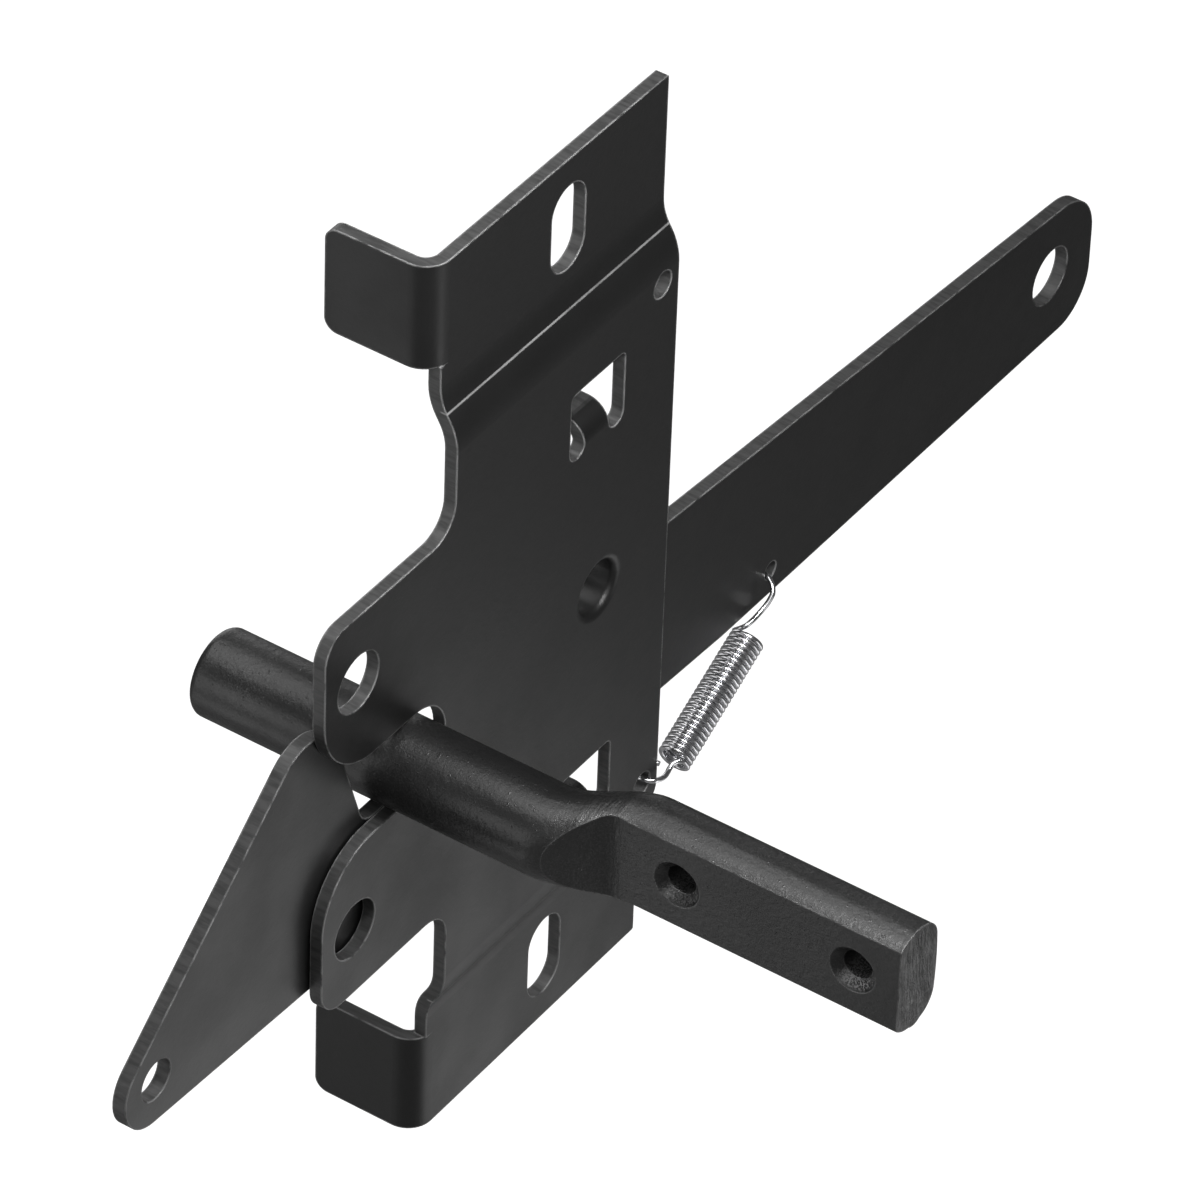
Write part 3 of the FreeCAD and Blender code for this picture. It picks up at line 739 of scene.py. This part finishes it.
@dataclass
class ReturnSpring:
    """Close-wound spring with a hook through the lever and a hook through the plate.

    Lengths are in metres.

    Args:
        finish: Material of the wire.
        wire_radius: Radius of the wire.
        coil_radius: Radius of the coil, to the wire's middle line.
        turns: Turns of the coil.
        length: Length of the coil.
        top: Upper end of the coil's axis.
        aim: Point that the coil's axis runs towards.
        lever_hole: Middle of the lever's spring hole.
        lever_hole_radius: Its radius.
        lever_gauge: Thickness of the lever.
        plate_hole: Middle of the plate's anchor hole.
        plate_hole_radius: Its radius.
        plate_gauge: Thickness of the plate.
        hook_top: Radius of the upper hook, to the wire's middle line.
        hook_low: Radius of the lower hook.
        hook_sweep: Angle that each hook is bent through, in radians.
        seat: Gap between the hook and the rim of its hole.
        hook_steps: Steps along each hook.
        lead_steps: Steps between a hook and the coil.
        turn_steps: Steps in each turn of the coil.
        ease_rounds: How often the bends at the ends of the coil are smoothed.
        ease_before: Points that the smoothing takes in before each bend.
        ease_after: Points that it takes in from each bend on.
        sides: Sides of the wire's section.
    """

    finish: bpy.types.Material
    wire_radius: float = 0.00048
    coil_radius: float = 0.0027
    turns: int = 26
    length: float = 0.02756
    top: Vector = field(default_factory=lambda: Vector((0.0573, -0.0045, -0.0445)))
    aim: Vector = field(default_factory=lambda: Vector((0.0314, -0.0060, -0.0555)))
    lever_hole: Vector = field(default_factory=lambda: Vector((0.0648, -0.0019, -0.0358)))
    lever_hole_radius: float = 0.00175
    lever_gauge: float = 0.0026
    plate_hole: Vector = field(default_factory=used_anchor)
    plate_hole_radius: float = 0.0025
    plate_gauge: float = 0.0024
    hook_top: float = 0.0036
    hook_low: float = 0.0029
    hook_sweep: float = math.radians(312)
    seat: float = 0.0001
    hook_steps: int = 36
    lead_steps: int = 5
    turn_steps: int = 28
    ease_rounds: int = 14
    ease_before: int = 7
    ease_after: int = 10
    sides: int = 12

    def _hook(self, hole: Vector, hole_radius: float, gauge: float, radius: float,
              coil_end: Vector) -> list[Vector]:
        """Points of one open hook, from its free end to where it heads for the coil.

        Args:
            hole: Middle of the hole.
            hole_radius: Radius of the hole.
            gauge: Thickness of the sheet.
            radius: Radius of the hook.
            coil_end: Middle of the coil's near end.

        Returns:
            Points along the wire's middle line.
        """
        reach = Vector((coil_end.x - hole.x, 0, coil_end.z - hole.z)).normalized()
        sag = radius - math.sqrt(radius ** 2 - (gauge / 2) ** 2)
        centre = hole + reach * (hole_radius - self.wire_radius - sag - self.seat + radius)
        back = Vector((0, 1, 0))
        front = (reach - back).normalized()
        across = (-back - reach).normalized()
        points = []
        for step in range(self.hook_steps, -1, -1):
            angle = self.hook_sweep * step / self.hook_steps
            points.append(centre + (front * math.cos(angle) + across * math.sin(angle)) * radius)
        return points

    def _helix(self, start: Vector, end: Vector, along: Vector) -> list[Vector]:
        """Points of the coil, from above the start point's side to the end point's side.

        Args:
            start: Point that the first turn comes from.
            end: Point that the last turn leaves for.
            along: Direction of the coil's axis, downwards.

        Returns:
            Points along the wire's middle line.
        """
        first = start - self.top
        first = (first - along * first.dot(along)).normalized()
        side = along.cross(first).normalized()
        last = end - (self.top + along * self.length)
        last = (last - along * last.dot(along)).normalized()
        extra = math.atan2(last.dot(side), last.dot(first)) % math.tau
        sweep = math.tau * (self.turns - 1) + extra
        rise = self.length - 2 * self.wire_radius
        count = int(self.turn_steps * sweep / math.tau)
        points = []
        for step in range(count + 1):
            share = step / count
            angle = sweep * share
            radial = first * math.cos(angle) + side * math.sin(angle)
            axial = self.wire_radius + rise * share
            points.append(self.top + along * axial + radial * self.coil_radius)
        return points

    def _lead(self, start: Vector, end: Vector) -> list[Vector]:
        """Straight run between a hook and the coil.

        Args:
            start: Point that it starts from.
            end: Point that it ends at.

        Returns:
            Points along it, without the start and the end.
        """
        return [start.lerp(end, step / self.lead_steps) for step in range(1, self.lead_steps)]

    def _eased(self, points: list[Vector], joins: tuple[int, int]) -> list[Vector]:
        """Smooths the wire where the coil's ends turn into the hooks.

        Args:
            points: Points along the wire's middle line.
            joins: Where the upper hook ends and the lower one begins.

        Returns:
            The smoothed points.
        """
        for _ in range(self.ease_rounds):
            eased = list(points)
            for join in joins:
                begin = max(1, join - self.ease_before)
                end = min(len(points) - 1, join + self.ease_after)
                for index in range(begin, end):
                    eased[index] = (points[index - 1] + points[index] * 2 + points[index + 1]) / 4
            points = eased
        return points

    def path(self) -> list[Vector]:
        """Middle line of the whole wire.

        Returns:
            Points from the upper hook's free end to the lower one's.
        """
        along = (self.aim - self.top).normalized()
        low = self.top + along * self.length
        upper = self._hook(self.lever_hole, self.lever_hole_radius, self.lever_gauge,
                           self.hook_top, self.top)
        lower = self._hook(self.plate_hole, self.plate_hole_radius, self.plate_gauge,
                           self.hook_low, low)
        coil = self._helix(upper[-1], lower[-1], along)
        points = upper + self._lead(upper[-1], coil[0]) + coil
        points += self._lead(coil[-1], lower[-1]) + list(reversed(lower))
        return self._eased(points, (len(upper), len(points) - len(lower)))

    def _skin(self, points: list[Vector]) -> bpy.types.Mesh:
        """Sweeps the wire's section along its middle line.

        Args:
            points: Points along the middle line.

        Returns:
            The closed mesh.
        """
        vertices: list[Vector] = []
        normal = (points[1] - points[0]).orthogonal().normalized()
        last = len(points) - 1
        for index, point in enumerate(points):
            ahead = points[min(index + 1, last)] - points[max(index - 1, 0)]
            ahead.normalize()
            normal = (normal - ahead * normal.dot(ahead)).normalized()
            binormal = ahead.cross(normal)
            for side in range(self.sides):
                angle = math.tau * side / self.sides
                outward = normal * math.cos(angle) + binormal * math.sin(angle)
                vertices.append(point + outward * self.wire_radius)
        faces = []
        for ring in range(last):
            for side in range(self.sides):
                here = ring * self.sides
                after = here + self.sides
                turn = (side + 1) % self.sides
                faces.append((here + side, here + turn, after + turn, after + side))
        faces.append(tuple(reversed(range(self.sides))))
        faces.append(tuple(last * self.sides + side for side in range(self.sides)))
        mesh = bpy.data.meshes.new("spring_wire")
        mesh.from_pydata([tuple(vertex) for vertex in vertices], [], faces)
        mesh.update()
        for polygon in mesh.polygons:
            polygon.use_smooth = len(polygon.vertices) == 4
        return mesh

    def build(self) -> bpy.types.Object:
        """Winds the spring and hangs it between its two bodies.

        Returns:
            The spring.
        """
        points = self.path()
        mesh = self._skin(points)
        mesh.materials.append(self.finish)
        piece = bpy.data.objects.new("spring_wire", mesh)
        bpy.context.scene.collection.objects.link(piece)
        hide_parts("return_spring")
        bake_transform(piece)
        LOG.info("spring_wire wound with %d rings", len(points))
        return piece


@dataclass(frozen=True)
class Softbox:
    """One soft lamp aimed at the latch; lengths in metres.

    Args:
        name: Name of the lamp.
        place: Place of its middle.
        width: Width of its face.
        height: Height of its face.
        power: Power, in watts.
    """

    name: str
    place: tuple[float, float, float]
    width: float
    height: float
    power: float

    def build(self, target: Vector) -> bpy.types.Object:
        """Makes the lamp.

        Args:
            target: Point that it faces.

        Returns:
            The lamp.
        """
        lamp = bpy.data.lights.new(self.name, "AREA")
        lamp.shape = "RECTANGLE"
        lamp.size = self.width
        lamp.size_y = self.height
        lamp.energy = self.power
        item = bpy.data.objects.new(self.name, lamp)
        item.location = self.place
        item.rotation_euler = (target - item.location).to_track_quat("-Z", "Y").to_euler()
        bpy.context.scene.collection.objects.link(item)
        LOG.info("%s set up", self.name)
        return item


@dataclass
class Studio:
    """Pale floor, soft lamps and the camera at the photograph's angle; lengths in metres.

    Args:
        target: Point that every lamp faces.
        floor_level: Height of the floor.
        floor_size: Side of the square floor.
        floor_grey: Linear grey of the floor, as the latch sees it.
        floor_roughness: Roughness of the floor.
        floor_glow: Light that the floor adds, which only the camera sees.
        world_grey: Strength of the light from all round.
        focal_pixels: Focal length of the camera, in pixels of the picture.
        frame_pixels: Width of the picture, in pixels.
        sensor: Width of the camera's sensor, in millimetres.
        camera_place: Place of the camera.
        right: Direction of the picture's right.
        down: Direction of the picture's foot.
        forward: Direction in which the camera looks.
        view_depth: Distance at which the camera stops seeing.
    """

    target: Vector = field(default_factory=lambda: Vector((0.02, -0.01, -0.005)))
    floor_level: float = -0.34
    floor_size: float = 14.0
    floor_grey: float = 0.36
    floor_roughness: float = 0.9
    floor_glow: float = 0.93
    world_grey: float = 0.08
    focal_pixels: float = 8890.8
    frame_pixels: float = 1200.0
    sensor: float = 36.0
    camera_place: tuple[float, float, float] = (-0.93115, -0.62376, 0.94091)
    right: tuple[float, float, float] = (0.56971648, -0.82132351, 0.02916902)
    down: tuple[float, float, float] = (-0.51580562, -0.38497265, -0.76533693)
    forward: tuple[float, float, float] = (0.63981848, 0.42097952, -0.64296855)
    view_depth: float = 50.0

    def build(self) -> None:
        """Sets up the floor, world, lamps, camera and colour view."""
        self._floor()
        self._world()
        for box in (
            Softbox("top_softbox", (-0.1, 0.7, 1.7), 1.7, 1.0, 9.5),
            Softbox("strip_softbox", (-0.06, -0.12, 0.26), 0.2, 0.06, 0.9),
            Softbox("side_softbox", (-1.7, 0.9, 0.1), 1.2, 1.2, 5.0),
            Softbox("key_softbox", (-1.4, -0.93, 1.4), 1.3, 1.3, 7.5),
            Softbox("low_softbox", (0.12, -0.15, -0.28), 0.16, 0.16, 0.065),
            Softbox("front_softbox", (0.02, -0.26, -0.16), 0.08, 0.30, 0.10),
            Softbox("rear_softbox", (-0.35, 0.20, -0.32), 0.32, 0.32, 0.22),
            Softbox("fill_softbox", (1.4, 1.5, 0.2), 1.3, 1.3, 7.0),
        ):
            box.build(self.target)
        self._camera()
        bpy.context.scene.view_settings.view_transform = "Standard"

    def _floor(self) -> None:
        """Lays the floor, which is white to the camera and a darker grey to the latch."""
        half = self.floor_size / 2
        mesh = bpy.data.meshes.new("studio_floor")
        corners = [(-half, -half), (half, -half), (half, half), (-half, half)]
        mesh.from_pydata([(x, y, self.floor_level) for x, y in corners], [], [(0, 1, 2, 3)])
        floor = bpy.data.objects.new("studio_floor", mesh)
        bpy.context.scene.collection.objects.link(floor)
        material, rack, shader = new_material("floor_paper")
        shader.inputs["Base Color"].default_value = (*[self.floor_grey] * 3, 1.0)
        shader.inputs["Roughness"].default_value = self.floor_roughness
        shader.inputs["Emission Color"].default_value = WHITE
        seen = rack.add("ShaderNodeLightPath").outputs["Is Camera Ray"]
        rack.wire(rack.product(seen, self.floor_glow), shader.inputs["Emission Strength"])
        mesh.materials.append(material)
        LOG.info("studio_floor laid")

    def _world(self) -> None:
        """Lights the latch evenly from all round, and shows white behind it."""
        world = bpy.data.worlds.new("studio_air")
        bpy.context.scene.world = world
        world.use_nodes = True
        rack = NodeRack(world.node_tree)
        backdrop = next(node for node in world.node_tree.nodes if node.type == "BACKGROUND")
        backdrop.inputs["Color"].default_value = WHITE
        seen = rack.add("ShaderNodeLightPath").outputs["Is Camera Ray"]
        rack.wire(rack.greys(self.world_grey, 1.0, seen), backdrop.inputs["Strength"])
        LOG.info("studio_air set")

    def _camera(self) -> None:
        """Places the camera at the photograph's viewpoint."""
        lens = bpy.data.cameras.new("photo_camera")
        lens.sensor_width = self.sensor
        lens.lens = self.focal_pixels / self.frame_pixels * self.sensor
        lens.clip_end = self.view_depth
        camera = bpy.data.objects.new("photo_camera", lens)
        axes = Matrix((self.right, -Vector(self.down), -Vector(self.forward))).transposed()
        camera.matrix_world = Matrix.Translation(Vector(self.camera_place)) @ axes.to_4x4()
        bpy.context.scene.collection.objects.link(camera)
        bpy.context.scene.camera = camera
        LOG.info("photo_camera placed")


def main() -> None:
    """Builds the finishes, the latch and the studio."""
    kit = ShaderKit()
    sheet = SheetCoat("plate_coat", Coat.SATIN, 0.009, 0.30, bend_highlight_height=0.0628)
    lever = SheetCoat("lever_coat", Coat.SATIN, 0.008, 0.26)
    forged = ForgedCoat("bar_coat", Coat.FORGED, 0.010, 0.22, ripple=1.6, relief=0.00015, nibs=1.2,
                        gloss=0.75)
    SteelPiece("back_plate", sheet.build(kit)).build()
    SteelPiece("latch_lever", lever.build(kit)).build()
    SteelPiece("strike_bar", forged.build(kit)).build()
    ReturnSpring(BrightZinc().build(kit)).build()
    Studio().build()


if __name__ == "__main__":
    main()
